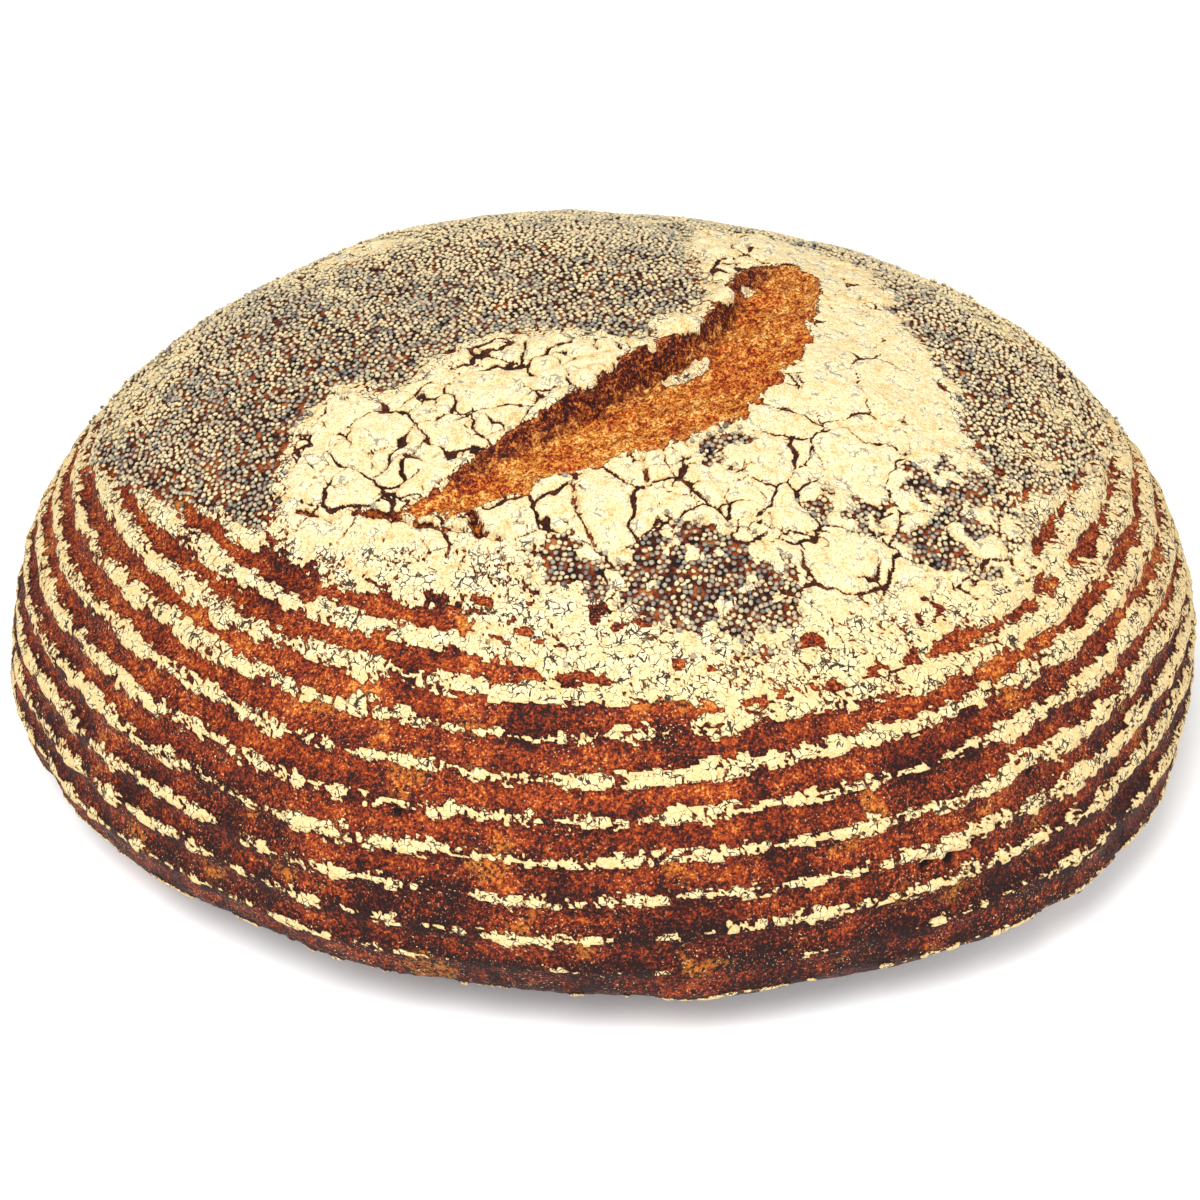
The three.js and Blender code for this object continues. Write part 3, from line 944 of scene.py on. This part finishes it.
def torn_crumb(n, grain, fibre, painted_shadow):
    """The fibrous inside of the tear, ruddy in patches, with painted shadow below the lip and in the
    splits.
    """
    streak = n.total(n.times(fibre, 0.4), n.times(grain["grit"], 0.6), n.around(grain["grit"], 0.9),
                     n.around(grain["speck"], 1.3), n.around(grain["mottle"], 0.6))
    torn = n.ramp(streak, (0.18, "541607"), (0.34, "96390B"), (0.48, "BA6418"), (0.62, "D08A30"),
                  (0.82, "EAC67C"))
    ruddy = n.ramp(streak, (0.22, "4A1206"), (0.40, "94300A"), (0.56, "C05E14"), (0.78, "E2A248"))
    torn = n.blend(n.step(grain["drift"], 0.48, 0.58), torn, ruddy)
    # painted shadow: dark crumb below the lip and in the splits
    shadow_crumb = n.ramp(streak, (0.26, "180405"), (0.46, "420D08"), (0.62, "86300D"), (0.84, "C67A30"))
    return n.blend(painted_shadow, torn, shadow_crumb)


def hidden_skin(n, grain, skin, seed_shade, whole, pit_shade):
    """Adds painted shade to the skin: among and under the seeds, at the bottoms of the plates' cracks, and
    in the holes.
    """
    level = n.total(grain["mottle"], n.around(grain["grit"], 0.4))
    # painted shade between and under the seeds
    under = n.ramp(level, (0.36, "180C08"), (0.48, "44190D"), (0.57, "8E401A"), (0.68, "B46A34"))
    skin = n.blend(seed_shade, skin, under)
    # painted shade at the bottoms of the cracks between whole plates
    crack_shade = n.ramp(grain["mottle"], (0.40, "160805"), (0.58, "34140A"), (0.70, "6E3016"))
    skin = n.blend(n.times(whole, 0.9), skin, crack_shade)
    # painted shade inside the holes
    return n.blend(n.step(pit_shade, 0.25, 0.75), skin, "1E0A08")


def crack_net(n, place, size, width):
    """1 along the borders of small cells."""
    edge = n.add("ShaderNodeTexVoronoi", {"feature": "DISTANCE_TO_EDGE"}, Vector=place,
                 Scale=1.0 / size).outputs["Distance"]
    return n.step(n.maths("SUBTRACT", edge, width), 0.025, 0.0)


def flour_cracks(n, place, grain, whole):
    """1 along the fine cracks in the flour, which are fainter on whole plates."""
    warped = n.add("ShaderNodeVectorMath", {"operation": "MULTIPLY_ADD"})
    wander = n.add("ShaderNodeTexNoise", Vector=place, Scale=1.0 / 1.6, Detail=2.0).outputs["Color"]
    for socket, value in zip(warped.inputs, (wander, (1.3, 1.3, 1.3), place)):
        n.feed(socket, value)
    wide = crack_net(n, warped.outputs[0], 3.2, n.step(grain["mottle"], 0.50, 0.68, -0.03, 0.05))
    width = n.maths("SUBTRACT", n.step(grain["mottle"], 0.40, 0.62, -0.015, 0.062), n.times(whole, 0.035))
    fine = crack_net(n, warped.outputs[0], 1.5, width)
    fine = n.times(fine, n.step(grain["grit"], 0.40, 0.50))
    fainter = n.maths("SUBTRACT", 1.0, n.times(whole, 0.4))
    return n.times(n.maths("MAXIMUM", wide, fine), fainter)


def flour_cream(n, place, grain, line):
    """The flour's own colour, yellower low on the side where it has baked more, with its fine cracks drawn
    dark: the crust in them, deepened with painted shade.
    """
    grainy = n.total(n.times(grain["mottle"], 0.5), n.times(grain["speck"], 0.5))
    cream = n.ramp(grainy, (0.36, "C69C5E"), (0.45, "E0C892"), (0.53, "EBDAB0"), (0.66, "F1E5C8"))
    height = n.add("ShaderNodeSeparateXYZ", Vector=place).outputs["Z"]
    cream = n.blend(n.step(height, 78.0, 56.0, 0.0, 0.5), cream, "DFC184")
    # fine cracks: crust colour deepened with painted shade
    return n.blend(n.times(line, 0.96), cream, "26100A")


def crust_material():
    n = Nodes("baked_crust")
    # cover: flour, torn crumb, painted shade among the seeds, whole plates
    flour, tear, seed_shade, whole = n.layer("cover")
    # tone: crust level with painted shade, painted shadow in the tear, fibre, and painted shade in the
    # holes
    toast_and_shade, painted_shadow, fibre, pit_shade = n.layer("tone")
    place = n.millimetres()
    grain = shared_grain(n, place)
    skin = n.blend(tear, baked_skin(n, grain, toast_and_shade), torn_crumb(n, grain, fibre, painted_shadow))
    skin = hidden_skin(n, grain, skin, seed_shade, whole, pit_shade)

    # flour, ragged and browned at its edges, with painted shade as a dark outline below them
    amount = n.total(flour, n.around(grain["grit"], 0.9), n.around(grain["speck"], 0.6))
    line = flour_cracks(n, place, grain, whole)
    cream = flour_cream(n, place, grain, line)
    rim = n.step(amount, 0.38, 0.50)
    edge_colour = n.blend(n.step(amount, 0.46, 0.75), "A87440", cream)
    surface = n.blend(rim, skin, edge_colour)
    # painted shade: a dark band along the flour's edges
    outline = n.times(n.step(amount, 0.22, 0.36), n.step(amount, 0.52, 0.42))
    surface = n.blend(n.times(outline, 0.8), surface, "260E0A")

    bumps = n.total(n.times(grain["grit"], 1.1), n.times(rim, 0.5))
    bumps = n.maths("SUBTRACT", bumps, n.times(line, 0.4))
    bump = n.add("ShaderNodeBump", Strength=0.9, Distance=0.4 * MM, Height=bumps)
    return n.surface(Base_Color=surface, Roughness=n.step(amount, 0.38, 0.55, 0.66, 0.95),
                     Specular_IOR_Level=0.2, Normal=bump.outputs["Normal"])


def seed_material():
    n = Nodes("poppy_seed")
    tone, topness, dust, _ = n.layer("seed")
    place = n.millimetres()
    speck = n.noise(place, 0.3, 2.0, 0.6)
    base = n.ramp(tone, (0.0, "44444A"), (0.25, "77746E"), (0.5, "A0967F"), (0.75, "C0AE88"),
                  (1.0, "DCC492"))
    powder = n.step(n.total(n.times(speck, 0.8), n.times(dust, 0.6)), 0.42, 0.95, 0.0, 0.9)
    powder = n.times(powder, n.step(topness, 0.35, 0.85))
    base = n.blend(powder, base, "E8D09C")
    # painted shade: the seeds' lower sides darkened almost to black, less where they are dusted
    clean = n.maths("SUBTRACT", 1.0, n.times(dust, 0.5))
    underside_shade = n.times(n.step(topness, 0.60, 0.20), clean)
    base = n.blend(underside_shade, base, "0E0908")
    bump = n.add("ShaderNodeBump", Strength=0.5, Distance=0.05 * MM, Height=speck)
    return n.surface(Base_Color=base, Roughness=0.45, Normal=bump.outputs["Normal"])


# ---- Stage, light and camera ----

VIEW_PITCH = 0.5065  # radians below the horizontal
VIEW_DISTANCE = 5.5 * LOAF_RADIUS
VIEW_TARGET = (0.1, 0.0, 26.1)
FOCAL_PER_FRAME = 2.664  # focal length over frame width
SENSOR = 36.0
FLOOR_HALF_SIDE = 3.0  # metres
WHITE = (1.0, 1.0, 1.0, 1.0)
FLOOR_COLOUR = (0.94, 0.94, 0.94, 1.0)
FLOOR_GLOW = 0.2
SKY_STRENGTH = 0.56
LOAF_MIDDLE = (0, 0, 0.05)  # where the lights point, in metres
# name, place and size in metres, and power in watts
LIGHTS = (("key", (-0.35, -0.75, 1.0), 0.8, 16.0), ("fill", (0.9, -0.5, 0.6), 0.9, 5.0))


def build_stage():
    corners = np.array(((-1, -1, 0), (1, -1, 0), (1, 1, 0), (-1, 1, 0))) * FLOOR_HALF_SIDE
    floor, _ = new_mesh("floor", corners, np.array([[0, 1, 2, 3]]), np.zeros((0, 3), int))
    pale = Nodes("pale_floor").surface(Base_Color=FLOOR_COLOUR, Roughness=0.9, Emission_Color=WHITE,
                                       Emission_Strength=FLOOR_GLOW)
    floor.data.materials.append(pale)

    world = bpy.data.worlds.new("studio")
    world.use_nodes = True
    sky = world.node_tree.nodes["Background"].inputs
    sky["Color"].default_value = WHITE
    sky["Strength"].default_value = SKY_STRENGTH
    bpy.context.scene.world = world


def add_light(name, place, size, power):
    lamp = bpy.data.lights.new(name, "AREA")
    lamp.shape = "DISK"
    lamp.size = size
    lamp.energy = power
    holder = bpy.data.objects.new(name, lamp)
    bpy.context.scene.collection.objects.link(holder)
    holder.location = place
    holder.rotation_euler = (Vector(LOAF_MIDDLE) - Vector(place)).to_track_quat("-Z", "Y").to_euler()


def build_camera(centre):
    target = (np.array(VIEW_TARGET) - centre) * MM
    forward = np.array([0.0, math.cos(VIEW_PITCH), -math.sin(VIEW_PITCH)])
    lens = bpy.data.cameras.new("camera")
    lens.sensor_width = SENSOR
    lens.lens = SENSOR * FOCAL_PER_FRAME
    lens.clip_start = 0.01
    eye = bpy.data.objects.new("camera", lens)
    bpy.context.scene.collection.objects.link(eye)
    eye.location = target - forward * VIEW_DISTANCE * MM
    eye.rotation_euler = Vector(forward).to_track_quat("-Z", "Y").to_euler()
    bpy.context.scene.camera = eye


# ---- The scene ----

def plan_centre():
    """The middle of the smooth skin's footprint box, which the CAD model puts at the origin."""
    azimuth = np.linspace(-math.pi, math.pi, 721)
    arcs = np.linspace(BELLY_ARC - 40.0, BASE_EDGE_ARC, 60)
    skin = smooth_skin(np.outer(arcs, np.cos(azimuth)).ravel(), np.outer(arcs, np.sin(azimuth)).ravel())
    middle = (skin.min(axis=0) + skin.max(axis=0)) / 2.0
    stands_at = np.mean(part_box("loaf"), axis=0) / MM
    return np.append((middle - stands_at)[:2], 0.0)


centre = plan_centre()
crust = build_crust(centre)
crust.data.materials.append(crust_material())
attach(crust, "root")
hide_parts("loaf")

poppy = seed_material()
for seeds in build_seeds(centre):
    seeds.data.materials.append(poppy)
    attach(seeds, "root")

build_stage()
for light in LIGHTS:
    add_light(*light)
build_camera(centre)

view = bpy.context.scene.view_settings
view.view_transform = "Standard"
view.look = "None"
view.exposure = 0.0
